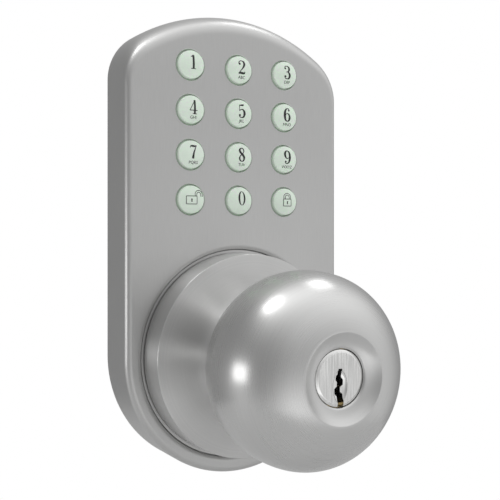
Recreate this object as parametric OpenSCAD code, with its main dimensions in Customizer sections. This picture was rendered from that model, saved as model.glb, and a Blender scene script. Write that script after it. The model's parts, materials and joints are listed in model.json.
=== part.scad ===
// Keypad door lock, outside unit: a domed plate with twelve keys, above a round knob with a key cylinder.
// The origin is where the knob axis meets the door. +Z is up, -Y points away from the door and +X is to the
// right, seen from the front. Everything is in millimetres.

/* [Plate] */
// Width of the plate, which is also twice the radius of its round bottom
plate_w = 70; // [66:0.5:90]
// Height of the plate's top above the knob axis
plate_rise = 100.4; // [98:0.2:125]
// Depth of the plate, from the door to its face
plate_t = 15; // [14.8:0.1:20]
// Thickness of the plate's side wall
side_wall = 2.2; // [1.6:0.1:3]
// Thickness of the plate's face
face_wall = 2.5; // [2:0.1:3]
// Radius of the arc along the plate's top
crown_r = 51.5; // [45:0.5:80]
// Radius of the plate's upper corners
corner_r = 15.2; // [12:0.1:20]
// Radius of the rounded front edge at the sides and bottom
edge_r = 1.8; // [1:0.1:2.2]
// How far the face's top edge lies below the plate's top
crown_fall = 7.4; // [3:0.1:9]
// How square the top's rounding is in profile: 2 is an ellipse
crown_square = 2.5; // [2:0.1:4]

/* [Keys] */
// Distance between key columns
key_pitch_x = 15.65; // [13:0.05:19]
// Distance between key rows
key_pitch_z = 12.8; // [11.6:0.1:14.4]
// Height of the top key row above the knob axis
key_top_z = 83.1; // [80:0.1:86]
// Radius of a key's cap
key_r = 4; // [3.2:0.05:4.6]
// Gap around a key's cap, in its hole
key_gap = 0.35; // [0.2:0.05:0.5]
// How far a key's crown stands in front of the face
key_rise = 1.5; // [0.9:0.1:2.5]
// How far a key goes in when it is pressed
key_travel = 0.8; // [0.4:0.05:1]
// Width of the flange that keeps a key behind the face
key_flange = 0.9; // [0.6:0.05:1.2]

/* [Board] */
// Thickness of the circuit board
board_t = 1.6; // [0.8:0.1:2]
// Thickness of the rubber membrane
membrane_t = 0.6; // [0.4:0.1:1]
// Radius of the posts that carry the board
board_post_r = 2.4; // [2:0.1:2.8]
// Radius of the board screws' thread
board_screw_r = 1; // [0.8:0.1:1.25]

/* [Rose] */
// Width of the plate's face that shows beside the rose
rose_margin = 5.6; // [4.6:0.1:9]
// Height of the rose's rim in front of the plate's face
rose_h = 7.9; // [6:0.1:9]
// How much smaller the rose's front rim is than its base, on the radius
rose_taper = 0.3; // [0:0.1:2]
// Thickness of the rose's wall
rose_wall = 1.5; // [1:0.1:2]
// Width of the dark gap around the rose's base
rose_gap = 0.8; // [0.4:0.1:1.2]
// Depth of the round seat that the rose stands in
rose_seat = 1.2; // [0.6:0.1:1.4]
// Width of the flat land between the rose's seat and the plate's edge
seat_land = 1.4; // [0.3:0.1:3]

/* [Knob] */
// Radius of the knob
knob_r = 25.5; // [24:0.1:30]
// Depth of the knob's round back half
knob_back = 24.2; // [23:0.1:26]
// Depth of the knob's flatter front half
knob_front = 19; // [18:0.1:24]
// How square the front half is in profile: 2 is an ellipse
knob_square = 2.5; // [2:0.1:3]
// Distance from the plate's face to the middle of the knob
knob_reach = 35; // [34:0.5:42]
// Thickness of the knob's wall
knob_wall = 1.6; // [1.2:0.1:2]
// Radius of the knob's neck
neck_r = 13.4; // [12.4:0.1:14]
// Radius of the lip around the dish in the knob's front
lip_r = 11.5; // [10.5:0.05:13]
// Depth of the dish, from its lip to the plug's face
dish_depth = 2; // [1.5:0.1:3]

/* [Lock cylinder] */
// Radius of the plug
plug_r = 6.35; // [5.8:0.05:6.8]
// How much wider the plug's head is than the plug, on the radius
plug_head = 0.6; // [0.4:0.05:0.8]
// Number of pin stacks
pin_count = 5; // [4:1:6]
// Distance between pin stacks
pin_pitch = 3.9; // [3.5:0.05:4.1]
// Radius of a pin
pin_r = 1.4; // [1.2:0.05:1.45]
// Width of the keyway
keyway_w = 1.3; // [1:0.05:1.6]

/* [Spindle] */
// Outside radius of the spindle tube
spindle_r = 6; // [5.5:0.05:7]
// Wall of the spindle tube
spindle_wall = 1.8; // [1.2:0.1:2]
// How far the spindle goes into the door
spindle_reach = 22; // [15:1:35]
// Radius of the spindle's end, which the latch fits on
spindle_end_r = 5.8; // [5:0.05:6.5]
// Length of the spindle's end
spindle_end = 18; // [10:1:30]
// Width of the tailpiece
tail_w = 6.3; // [5:0.1:6.4]
// Thickness of the tailpiece
tail_t = 1.6; // [1.2:0.1:2]
// How far the tailpiece goes into the door
tail_reach = 30; // [24:1:45]

/* [Door side] */
// Distance between the two threaded mounting posts
post_spacing = 38; // [35:0.5:42]
// Radius of a mounting post
post_r = 4; // [3.5:0.1:4.5]
// Radius of a mounting post's thread
post_thread_r = 2.1; // [1.6:0.05:2.5]
// How far a mounting post goes into the door
post_reach = 16; // [12:1:25]
// Thickness of the steel back plate
back_t = 2; // [1.5:0.1:3]
// Thickness of the gasket between the door and the back plate
gasket_t = 1; // [0.5:0.1:1.5]
// Radius of the case screws' thread
case_screw_r = 1.5; // [1.25:0.05:1.75]

/* [Hidden] */
$fn = 96;

// Clearances
running = 0.05;
push_fit = 0.05;
loose = 0.3;
cut = 0.1;

// Distances in front of the door
back_out = gasket_t + back_t;
inside_out = plate_t - face_wall;
seat_out = plate_t - rose_seat;
rim_out = plate_t + rose_h;
knob_out = plate_t + knob_reach;

// Plate outline
half_w = plate_w / 2;
cavity_w = half_w - side_wall;
corner_z = plate_rise - crown_r + sqrt(pow(crown_r - corner_r, 2) - pow(half_w - corner_r, 2));
case_head_r = 1.8 * case_screw_r;
boss_r = case_screw_r + 2;
boss_in = cavity_w - boss_r + 0.4;
boss_drop = 1.12;

// Keys: the flange lies behind the face, and the stem stops above the membrane when the key is pressed
key_names = ["button_1", "button_2", "button_3", "button_4", "button_5", "button_6", "button_7", "button_8",
    "button_9", "button_unlock", "button_0", "button_lock"];
key_hole_r = key_r + key_gap;
flange_r = key_hole_r + key_flange - key_gap / 2;
flange_t = 0.8;
flange_out = inside_out - 0.2;
stem_r = 2.2;
stem_out = flange_out - flange_t - 0.9;
membrane_out = stem_out - key_travel - loose;
board_out = membrane_out - membrane_t - 0.4;
key_side = 0.7;
dome_rise = key_rise - key_side;
dome_r = (key_r * key_r + dome_rise * dome_rise) / (2 * dome_rise);
board_edge = 0.6;
board_x = key_pitch_x + flange_r + board_edge;
board_top = key_top_z + flange_r + board_edge;
board_bottom = key_top_z - 3 * key_pitch_z - flange_r - board_edge;
board_back = board_out - board_t;
board_screw_head_r = 1.9;
board_screw_head_t = 1.2;
led_w = 1.6;
led_h = 0.8;
led_t = 0.6;

// Rose
rose_r = half_w - rose_margin;
rose_rim_r = rose_r - rose_taper;
seal_t = 0.4;
seal_w = 2.2;
seal_out = seat_out + seal_t;
seat_edge = rose_margin - rose_gap - edge_r - seat_land;
neck_gap = 0.6;
collar_in = neck_r + neck_gap;
collar_r = collar_in + 2.5;
collar_out = plate_t - 5;
rose_nut_w = 3.2;

// Knob
lip_out = knob_out + front_depth(knob_r, knob_front, lip_r);
dish_out = lip_out - dish_depth;
head_r = plug_r + plug_head;
head_gap = 0.2;
bore_r = head_r + head_gap;
neck_seat_r = neck_r - 1.4;
neck_seat_out = knob_out - back_depth(knob_r, knob_back, neck_r);
neck_end = plate_t + 2.2;
neck_plug = 2.9;
inner_r = knob_r - knob_wall;

// Lock cylinder, from its front face to its back
cyl_front = dish_out - 2.3;
cyl_len = pin_count * pin_pitch + 8.3;
cyl_back = cyl_front - cyl_len;
cyl_r = plug_r + 1.65;
bible_w = 2 * pin_r + 3.6;
shear_r = plug_r + running;
driver_from = plug_r + loose;
driver_len = 3.2;
spring_len = 2.9;
bible_h = driver_from + driver_len + spring_len + 0.1;
cap_t = 0.6;
first_pin = cyl_front - 5.5;
pin_gap = 0.05;
key_pin_top = plug_r - 0.6;
key_cuts = [0.3, 1.1, 0.6, 1.5, 0.9, 0.4];
pin_floor = 0.6;
clip_t = 0.8;
clip_out = cyl_back - loose - clip_t;
plug_back = clip_out - 0.6;
clip_groove_r = plug_r - 0.75;
clip_r = plug_r + 1.05;
keyway_top = 2.3;

// Spindle and return spring
spindle_in_r = spindle_r - spindle_wall;
tail_head_t = 1.4;
tail_head_r = 5;
spindle_front = plug_back - tail_head_t - 0.9;
bush_wall = 2.5;
bush_r = spindle_r + running + bush_wall;
bush_out = back_out + 3.3;
cage_wall = 1.2;
coil_wire_r = 0.7;
coil_r = bush_r + 0.6 + coil_wire_r;
coil_turns = 2.5;
coil_pitch = 1.55;
coil_from = back_out + coil_wire_r + 0.2;
coil_to = coil_from + coil_turns * coil_pitch;
cam_t = 1;
cam_out = coil_to + coil_wire_r + 0.4;
cam_r = spindle_r + 3;
cage_r = neck_r - 0.35;
cage_in_r = cage_r - cage_wall;
cage_out = cam_out + cam_t + loose + cage_wall;
ring_t = 0.9;
ring_out = cage_out + loose;

// Door side
grommet_z = cage_r + 6.5;
grommet_r = 4.5;
grommet_lip = 1;
door_hole_r = grommet_z + grommet_r + grommet_lip + 0.35;

// Turns a piece drawn flat, x to the right, y up and z away from the door, to stand on the door.
module facing() {
    rotate([90, 0, 0]) children();
}

module disc(r, from, to) {
    translate([0, 0, from]) cylinder(r = r, h = to - from);
}

module ring(r_out, r_in, from, to) {
    difference() {
        disc(r_out, from, to);
        disc(r_in, from - cut, to + cut);
    }
}

// A block centred on x and y.
module block(size, at, from) {
    translate([at[0] - size[0] / 2, at[1] - size[1] / 2, from]) cube(size);
}

function arc(at, r, from, to, steps) =
    [for (i = [0 : steps]) let (a = from + (to - from) * i / steps) at + r * [cos(a), sin(a)]];

// The plate's outline: a round bottom, straight sides, round corners and an arc along the top.
// side_in moves the sides and bottom inwards, and top_in moves the top down.
function outline(side_in, top_in) =
    let (
        w = half_w - side_in,
        corner = max(corner_r - top_in / 2, 2),
        top = plate_rise - top_in,
        rise = sqrt(pow(crown_r - corner, 2) - pow(w - corner, 2)),
        corner_z = top - crown_r + rise,
        lean = atan2(rise, w - corner)
    ) concat(
        arc([0, 0], w, 180, 360, 40),
        arc([w - corner, corner_z], corner, 0, lean, 10),
        arc([0, top - crown_r], crown_r, lean, 180 - lean, 20),
        arc([corner - w, corner_z], corner, 180 - lean, 180, 10)
    );

// The front edge is a quarter circle at the sides, and a long quarter ellipse at the top.
function side_inset(out) =
    out <= plate_t - edge_r ? 0 : edge_r - sqrt(max(edge_r * edge_r - pow(out - plate_t + edge_r, 2), 0));
function top_inset(out) =
    crown_fall * (1 - pow(max(1 - pow(out / plate_t, crown_square), 0), 1 / crown_square));

// Distance from the knob's middle to its surface at the radius r: an elliptic back and a squarer front.
function back_depth(widest, depth, r) = depth * sqrt(1 - pow(r / widest, 2));
function front_depth(widest, depth, r) =
    depth * pow(max(1 - pow(r / widest, knob_square), 0), 1 / knob_square);

module plate_body() {
    layers = concat([0, 0.35, 0.6, 0.78], [for (a = [0 : 15 : 90]) 1 - edge_r * (1 - sin(a)) / plate_t]);
    hull() {
        for (part = layers)
            translate([0, 0, part * plate_t - (part == 0 ? 0 : 0.01)])
                linear_extrude(0.01) polygon(outline(side_inset(part * plate_t), top_inset(part * plate_t)));
    }
}

module plate_cavity() {
    hull() {
        for (part = [0, 0.4, 0.7, 1])
            translate([0, 0, part * inside_out - (part == 1 ? 0.01 : cut)])
                linear_extrude(0.01)
                    polygon(outline(side_wall, top_inset(part * inside_out) + side_wall));
    }
}

// Places its children at each key, left to right and from the top row down.
module at_keys() {
    for (i = [0 : len(key_names) - 1]) translate(key_place(i)) children();
}

function key_place(i) = [(i % 3 - 1) * key_pitch_x, key_top_z - floor(i / 3) * key_pitch_z, 0];

// Places its children at the four posts that stand between the keys.
module at_board_posts() {
    for (side = [-0.5, 0.5], row = [0.5, 2.5])
        translate([side * key_pitch_x, key_top_z - row * key_pitch_z, 0]) children();
}

// Places its children at the four case screws: below the upper corners and along the round bottom.
module at_case_screws() {
    for (side = [-1, 1]) {
        translate([side * boss_in, corner_z - boss_drop, 0]) children();
        translate([side * boss_in * sin(45), -boss_in * cos(45), 0]) children();
    }
}

module at_posts() {
    for (side = [-0.5, 0.5]) translate([side * post_spacing, 0, 0]) children();
}

module at_pins() {
    for (i = [0 : pin_count - 1])
        translate([0, 0, first_pin - i * pin_pitch]) rotate([-90, 0, 0]) children();
}

// A round wire wound around the z axis.
module coil(r, wire_r, turns, pitch, sides, steps) {
    count = round(turns * steps);
    points = [for (i = [0 : count], j = [0 : sides - 1])
        let (turn = 360 * i / steps, a = 360 * j / sides, far = r + wire_r * cos(a))
            [far * cos(turn), far * sin(turn), pitch * i / steps + wire_r * sin(a)]];
    walls = [for (i = [0 : count - 1], j = [0 : sides - 1])
        let (k = (j + 1) % sides) [i * sides + j, i * sides + k, (i + 1) * sides + k, (i + 1) * sides + j]];
    ends = [[for (j = [sides - 1 : -1 : 0]) j], [for (j = [0 : sides - 1]) count * sides + j]];
    polyhedron(points, concat(walls, ends), convexity = 10);
}

module face_plate() {
    color("silver") facing() {
        difference() {
            plate_body();
            plate_cavity();
            at_keys() disc(key_hole_r, inside_out - 1, plate_t + 1);
            rotate_extrude() polygon([[0, seat_out], [rose_r + rose_gap, seat_out],
                [rose_r + rose_gap + seat_edge, plate_t], [rose_r + rose_gap + seat_edge, plate_t + 1],
                [0, plate_t + 1]]);
            disc(collar_r + push_fit, inside_out - 1, plate_t + 1);
        }
        at_case_screws() ring(boss_r, case_screw_r, back_out, inside_out);
        at_board_posts() ring(board_post_r, board_screw_r, board_out, inside_out);
    }
}

module door_gasket() {
    color("dimgray") facing() difference() {
        linear_extrude(gasket_t) polygon(outline(side_wall + loose, side_wall + loose));
        disc(door_hole_r, -cut, gasket_t + cut);
        block([2 * board_x - 8, board_top - board_bottom - 8, gasket_t + 2 * cut],
            [0, (board_top + board_bottom) / 2], -cut);
        at_case_screws() disc(boss_r, -cut, gasket_t + cut);
    }
}

module back_plate() {
    sink_r = case_head_r + cut;
    color("lightsteelblue") facing() difference() {
        translate([0, 0, gasket_t]) linear_extrude(back_t)
            polygon(outline(side_wall + 2 * cut, side_wall + 2 * cut + top_inset(back_out)));
        disc(bush_r + push_fit, gasket_t - cut, back_out + cut);
        at_posts() disc(post_r - 1 + push_fit, gasket_t - cut, back_out + cut);
        translate([0, grommet_z, 0]) disc(grommet_r, gasket_t - cut, back_out + cut);
        at_case_screws() {
            disc(case_screw_r + cut, gasket_t - cut, back_out + cut);
            translate([0, 0, gasket_t])
                cylinder(r1 = sink_r, r2 = case_screw_r + cut, h = case_head_r - case_screw_r);
        }
    }
}

module case_screws() {
    shank_r = case_screw_r - 2 * push_fit;
    color("gray") facing() at_case_screws() difference() {
        union() {
            translate([0, 0, gasket_t])
                cylinder(r1 = case_head_r, r2 = shank_r, h = case_head_r - shank_r);
            disc(shank_r, gasket_t, inside_out - 2);
        }
        block([0.9, 3.2, 1], [0, 0], gasket_t - 0.2);
        block([3.2, 0.9, 1], [0, 0], gasket_t - 0.2);
    }
}

// Each post has a spigot through the back plate and an open threaded hole at its far end.
module mounting_posts() {
    color("gainsboro") facing() at_posts() difference() {
        union() {
            disc(post_r, -post_reach, gasket_t);
            disc(post_r - 1, gasket_t, back_out);
        }
        disc(post_thread_r, -post_reach - cut, gasket_t / 2);
    }
}

module spindle_bush() {
    color("goldenrod") facing() difference() {
        disc(bush_r, gasket_t, bush_out);
        disc(spindle_r + running, gasket_t - cut, bush_out + cut);
    }
}

module spring_cage() {
    color("lightslategray") facing() {
        ring(cage_r, cage_in_r, back_out, cage_out);
        ring(cage_in_r, spindle_r + neck_gap, cage_out - cage_wall, cage_out);
    }
}

module return_spring() {
    color("darkgray") facing() translate([0, 0, coil_from])
        coil(coil_r, coil_wire_r, coil_turns, coil_pitch, 8, 28);
}

// A bell: a tapered wall, a face that rises slowly and then sharply to the neck, and a collar through the plate.
module rose() {
    slope = 0.1;
    crest = 2.6;
    crest_r = collar_in + 1.2;
    run = rose_rim_r - crest_r;
    rise = slope * run;
    face = [for (i = [0 : 16]) let (part = i / 16)
        [rose_rim_r - run * part, rim_out + rise * part + (crest - rise) * pow(part, 8)]];
    under = [for (i = [16 : -1 : 0]) let (part = i / 16)
        [rose_rim_r - rose_wall - (run - rose_wall - 1.3) * part,
            rim_out - rose_wall + rise * part + (crest - rise) * pow(part, 8) * 0.6]];
    color("silver") facing() rotate_extrude() polygon(concat(
        [[rose_r, seal_out], [rose_r, plate_t + 1]], face,
        [[collar_in, rim_out + crest], [collar_in, collar_out], [collar_r, collar_out]], under,
        [[rose_r - rose_wall, plate_t + 1], [rose_r - rose_wall, seal_out]]));
}

module rose_seal() {
    color("black") facing() ring(rose_r - 0.2, rose_r - seal_w, seat_out, seal_out);
}

module rose_nut() {
    color("gray") facing() difference() {
        ring(collar_r + rose_nut_w, collar_r + push_fit, collar_out + 0.3, inside_out);
        for (a = [0 : 60 : 300])
            rotate([0, 0, a]) block([2, 3, 6], [0, collar_r + rose_nut_w], collar_out - 1);
    }
}

module keypad_membrane() {
    color("whitesmoke") facing() difference() {
        block([2 * board_x - 1, board_top - board_bottom - 1, membrane_out - board_out],
            [0, (board_top + board_bottom) / 2], board_out);
        block([2 * board_x - 3, board_top - board_bottom - 3, membrane_out - board_out],
            [0, (board_top + board_bottom) / 2], board_out - membrane_t);
        at_board_posts() disc(board_post_r + loose, board_out - 1, membrane_out + 1);
        at_leds() disc(led_w, board_out - 1, membrane_out + 1);
    }
}

// Places its children at the lamps between the key columns.
module at_leds() {
    for (side = [-0.5, 0.5], row = [0 : 3])
        translate([side * key_pitch_x, key_top_z - row * key_pitch_z, 0]) children();
}

module circuit_board() {
    color("darkgreen") facing() difference() {
        block([2 * board_x, board_top - board_bottom, board_t],
            [0, (board_top + board_bottom) / 2], board_back);
        at_board_posts() disc(board_screw_r + cut, board_back - cut, board_out + cut);
    }
}

module snap_domes() {
    rise = 0.3;
    color("gold") facing() at_keys()
        translate([0, 0, board_out]) cylinder(r1 = 2.4, r2 = 1.1, h = rise);
}

module backlight_leds() {
    color("lightyellow") facing() at_leds() block([led_w, led_h, led_t], [0, 0], board_out);
}

module control_chip() {
    color("black") facing() block([9, 9, 1.5], [0, key_top_z - key_pitch_z], board_back - 1.5);
}

module buzzer() {
    color("black") facing() translate([key_pitch_x, key_top_z - 2 * key_pitch_z, 0])
        ring(4.5, 0.9, board_back - 3, board_back);
}

module cable_socket() {
    socket = [11, 5.4, 3.4];
    socket_y = board_bottom + 4;
    color("ivory") facing() difference() {
        block(socket, [0, socket_y], board_back - socket[2]);
        block([9, 3.6, socket[2] - 1.1], [0, socket_y], board_back - socket[2] - cut);
    }
}

// A rubber ring, grooved around the edge of the back plate's cable hole.
module cable_grommet() {
    hole_r = 2.6;
    edge = 0.8;
    lip_end = grommet_r + grommet_lip;
    color("black") facing() translate([0, grommet_z, 0]) rotate_extrude() polygon([
        [hole_r, gasket_t - edge], [lip_end, gasket_t - edge], [lip_end, gasket_t],
        [grommet_r, gasket_t], [grommet_r, back_out], [lip_end, back_out],
        [lip_end, back_out + edge], [hole_r, back_out + edge]]);
}

module board_screws() {
    color("gray") facing() at_board_posts() difference() {
        union() {
            disc(board_screw_head_r, board_back - board_screw_head_t, board_back);
            disc(board_screw_r - push_fit, board_back - cut, inside_out - 1.2);
        }
        block([0.5, 2.4, 1], [0, 0], board_back - board_screw_head_t - 0.4);
        block([2.4, 0.5, 1], [0, 0], board_back - board_screw_head_t - 0.4);
    }
}

// A key: a domed cap, a flange behind the face and a stem above the membrane.
module key(i) {
    crown = plate_t + key_rise;
    color("honeydew") facing() translate(key_place(i)) {
        intersection() {
            disc(key_r, flange_out - flange_t, crown);
            translate([0, 0, crown - dome_r]) sphere(r = dome_r);
        }
        ring(flange_r, key_r, flange_out - flange_t, flange_out);
        disc(stem_r, stem_out, flange_out - flange_t);
    }
}

// A hollow ball, flatter in front, with a dish around the plug and a round hole at the back.
module knob_shell() {
    steps = 20;
    lip_round = 0.5;
    dish_in_r = lip_r + 0.9;
    inner_back = knob_back - knob_wall;
    inner_front = knob_front - knob_wall;
    outer_back = [for (i = [0 : steps])
        let (a = acos(neck_r / knob_r) * (1 - i / steps), r = knob_r * cos(a))
            [r, knob_out - back_depth(knob_r, knob_back, r)]];
    outer_front = [for (i = [1 : steps])
        let (a = acos(lip_r / knob_r) * i / steps, r = knob_r * cos(a))
            [r, knob_out + front_depth(knob_r, knob_front, r)]];
    inner_front_half = [for (i = [0 : 12])
        let (a = acos(dish_in_r / inner_r) * (1 - i / 12), r = inner_r * cos(a))
            [r, knob_out + front_depth(inner_r, inner_front, r)]];
    inner_back_half = [for (i = [1 : 12])
        let (a = acos(neck_seat_r / inner_r) * i / 12, r = inner_r * cos(a))
            [r, knob_out - back_depth(inner_r, inner_back, r)]];
    color("silver") facing() rotate_extrude() polygon(concat(
        [[neck_seat_r, neck_seat_out]], outer_back, outer_front,
        [[lip_r - lip_round, lip_out - 0.15], [bore_r + 0.5, dish_out + 0.3], [bore_r, dish_out - 0.2],
            [bore_r, dish_out - 2]],
        inner_front_half, inner_back_half));
}

module knob_neck() {
    wall = 2;
    floor_t = 2.5;
    front = neck_seat_out + neck_plug;
    color("silver") facing() rotate_extrude() polygon([
        [neck_r, neck_end], [neck_r, neck_seat_out], [neck_seat_r - push_fit, neck_seat_out],
        [neck_seat_r - push_fit, front], [neck_seat_r - 1.6, front], [neck_seat_r - 1.6, neck_seat_out],
        [spindle_r + push_fit, neck_seat_out], [spindle_r + push_fit, neck_seat_out - floor_t],
        [neck_r - wall, neck_seat_out - floor_t],
        [neck_r - wall, neck_end]]);
}

// The casting inside the knob that holds the lock cylinder, with a web out to the knob's wall.
module knob_core() {
    core_r = sqrt(pow(bible_h + cap_t, 2) + pow(bible_w / 2, 2)) + 1.2;
    core_front = cyl_front - 1.5;
    web = 2;
    color("darkgray") facing() difference() {
        union() {
            disc(core_r, cyl_back, core_front);
            disc(inner_r - 0.15, knob_out - web / 2, knob_out + web / 2);
        }
        disc(cyl_r + push_fit, cyl_back - cut, cyl_front + cut);
        block([bible_w + 2 * push_fit, bible_h + cap_t + push_fit, cyl_len + 2 * cut],
            [0, (bible_h + cap_t + push_fit) / 2], cyl_back - cut);
    }
}

module cylinder_body() {
    color("burlywood") facing() difference() {
        union() {
            disc(cyl_r, cyl_back, cyl_front);
            block([bible_w, bible_h, cyl_len], [0, bible_h / 2], cyl_back);
        }
        disc(shear_r, cyl_back - cut, cyl_front + cut);
        at_pins() disc(pin_r + pin_gap, 0, bible_h + cut);
    }
}

module driver_pins() {
    color("gold") facing() at_pins() disc(pin_r, driver_from, driver_from + driver_len);
}

module pin_springs() {
    wire_r = 0.18;
    turns = 5;
    color("darkgray") facing() at_pins() translate([0, 0, driver_from + driver_len + wire_r])
        coil(pin_r - wire_r - 0.05, wire_r, turns, (spring_len - 2 * wire_r) / turns, 5, 10);
}

module chamber_cap() {
    color("peru") facing() block([bible_w, cap_t, cyl_len], [0, bible_h + cap_t / 2], cyl_back);
}

module spindle() {
    color("gainsboro") facing() difference() {
        union() {
            disc(spindle_r, spindle_end - spindle_reach, spindle_front);
            disc(spindle_end_r, -spindle_reach, spindle_end - spindle_reach);
        }
        disc(spindle_in_r, -spindle_reach - cut, spindle_front + cut);
    }
}

// A plate on the spindle, with a lug that winds the return spring.
module drive_cam() {
    color("slategray") facing() difference() {
        union() {
            disc(cam_r, cam_out, cam_out + cam_t);
            block([4, 3, cam_t], [0, cam_r], cam_out);
        }
        disc(spindle_r + push_fit, cam_out - cut, cam_out + cam_t + cut);
    }
}

module spindle_clip() {
    color("gray") facing() difference() {
        ring(spindle_r + 2.2, spindle_r + push_fit, ring_out, ring_out + ring_t);
        block([5, 6, 3], [0, -spindle_r - 1], ring_out - 1);
    }
}

// The keyway's outline: a narrow slot with side steps, from above the axis down through the plug's rim.
module keyway() {
    w = keyway_w;
    polygon([[-0.35 * w, keyway_top], [0.5 * w, keyway_top], [0.5 * w, 0.2], [0.95 * w, -0.5],
        [0.95 * w, -1.7], [0.35 * w, -2.3], [0.35 * w, -3.4], [0.8 * w, -3.9],
        [0.8 * w, -plug_r - 1], [-0.5 * w, -plug_r - 1], [-0.5 * w, -4.4], [-w, -3.8],
        [-w, -2.6], [-0.35 * w, -2], [-0.35 * w, -1], [-0.7 * w, -0.5],
        [-0.7 * w, 0.5], [-0.35 * w, 0.9]]);
}

module key_plug() {
    scoop = 0.5;
    scoop_r = 5.2;
    scoop_shift = 3.1;
    color("gainsboro") facing() difference() {
        union() {
            disc(plug_r, plug_back, cyl_front + 0.1);
            disc(head_r, cyl_front + 0.1, dish_out);
        }
        translate([0, 0, plug_back - 1]) linear_extrude(dish_out - plug_back + 2) keyway();
        translate([0, -2, dish_out - scoop]) linear_extrude(2) intersection() {
            translate([-scoop_shift, 0]) circle(r = scoop_r);
            translate([scoop_shift, 0]) circle(r = scoop_r);
        }
        at_pins() disc(pin_r + pin_gap, pin_floor, plug_r + 1);
        difference() {
            disc(plug_r + 1, clip_out - 0.05, clip_out + clip_t + 0.05);
            disc(clip_groove_r, clip_out - cut, clip_out + clip_t + cut);
        }
    }
}

// The pins are drawn lifted to the shear line, each as long as its own cut in the key.
module key_pins() {
    color("goldenrod") facing() for (i = [0 : pin_count - 1])
        translate([0, 0, first_pin - i * pin_pitch]) rotate([-90, 0, 0])
            disc(pin_r, keyway_top - key_cuts[i], key_pin_top);
}

module plug_clip() {
    color("gray") facing() difference() {
        ring(clip_r, clip_groove_r + push_fit, clip_out, clip_out + clip_t);
        block([2 * clip_groove_r, 6, 3], [0, -clip_r - 1], clip_out - 1);
    }
}

module tailpiece() {
    color("lightgray") facing() {
        disc(tail_head_r, plug_back - tail_head_t, plug_back);
        block([tail_w, tail_t, tail_reach + plug_back - tail_head_t], [0, 0], -tail_reach);
    }
}

face_plate();
door_gasket();
back_plate();
case_screws();
mounting_posts();
spindle_bush();
spring_cage();
return_spring();
rose();
rose_seal();
rose_nut();
keypad_membrane();
circuit_board();
snap_domes();
backlight_leds();
control_chip();
buzzer();
cable_socket();
cable_grommet();
board_screws();
for (i = [0 : len(key_names) - 1]) key(i);
knob_shell();
knob_neck();
knob_core();
cylinder_body();
driver_pins();
pin_springs();
chamber_cap();
spindle();
drive_cam();
spindle_clip();
key_plug();
key_pins();
plug_clip();
tailpiece();
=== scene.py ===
"""The looks of a keypad door lock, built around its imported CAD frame.

Shapes are drawn in millimetres as (x, up, out), where out is the distance in front of the door, and are
turned into the frame's metres by place().
"""
import json
import math

import bmesh
import bpy
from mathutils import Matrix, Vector


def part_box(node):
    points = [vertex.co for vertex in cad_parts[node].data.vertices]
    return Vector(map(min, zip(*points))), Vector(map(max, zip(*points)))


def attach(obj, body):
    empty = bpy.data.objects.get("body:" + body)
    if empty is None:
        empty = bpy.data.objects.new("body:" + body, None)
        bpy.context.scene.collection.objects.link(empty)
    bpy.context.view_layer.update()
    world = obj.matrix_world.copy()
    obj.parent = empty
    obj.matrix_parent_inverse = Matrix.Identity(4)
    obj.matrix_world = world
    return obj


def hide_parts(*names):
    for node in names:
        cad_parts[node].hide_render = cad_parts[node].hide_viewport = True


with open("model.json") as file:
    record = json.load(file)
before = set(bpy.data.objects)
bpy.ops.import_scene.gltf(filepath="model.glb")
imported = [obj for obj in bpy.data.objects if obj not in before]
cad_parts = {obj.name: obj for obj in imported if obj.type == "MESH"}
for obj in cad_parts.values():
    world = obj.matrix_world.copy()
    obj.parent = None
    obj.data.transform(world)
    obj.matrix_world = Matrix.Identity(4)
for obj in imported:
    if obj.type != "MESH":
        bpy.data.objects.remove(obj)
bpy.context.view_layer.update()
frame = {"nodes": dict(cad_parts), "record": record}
MM = 0.001


def extent(node):
    """The greatest x, height and distance in front of the door that a CAD node reaches, in mm."""
    low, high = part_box(node)
    return high.x / MM, high.z / MM, -low.y / MM


# Plate
half_w, plate_top, plate_t = extent("face_plate")
side_wall = 2.2
face_wall = 2.5
crown_r = 51.5
corner_r = 15.2
edge_r = 1.8
crown_fall = 7.4
crown_square = 2.5
inside_out = plate_t - face_wall
boss_r = 3.5
boss_drop = 1.12
boss_hole_r = 1.5
boss_back = 3.0
post_r = 2.4
post_hole_r = 1.0
board_out = extent("circuit_board")[2]
seat_out = plate_t - 1.2
roll_in = 1.6

# Keys
key_names = ["1", "2", "3", "4", "5", "6", "7", "8", "9", "unlock", "0", "lock"]
key_r = 4.0
key_hole_r = 4.35
key_side = 0.7
hole_round = 0.4
flange_t = 0.8
stem_r = 2.2
print_right = 0.35
print_up = 0.65

# Rose and knob
rose_r, _, rose_front = extent("rose")
rose_gap = 0.8
rose_rim_r = rose_r - 0.3
rim_out = plate_t + 7.9
rose_wall = 1.5
rose_slope = 0.1
knob_r, _, lip_out = extent("knob_shell")
knob_out = plate_t + 35
knob_back = 24.2
knob_front = 19.0
knob_square = 2.5
knob_wall = 1.6
neck_r = 13.4
neck_seat_r = neck_r - 1.4
collar_in_r = neck_r + 0.6
collar_r = collar_in_r + 2.5
lip_r = 11.5
head_r, _, dish_out = extent("key_plug")
bore_r = head_r + 0.2
plug_r = 6.35


# Mesh tools

def place(x, up, out):
    """The frame's own coordinates of a place given in mm."""
    return Vector((x * MM, -out * MM, up * MM))


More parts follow.
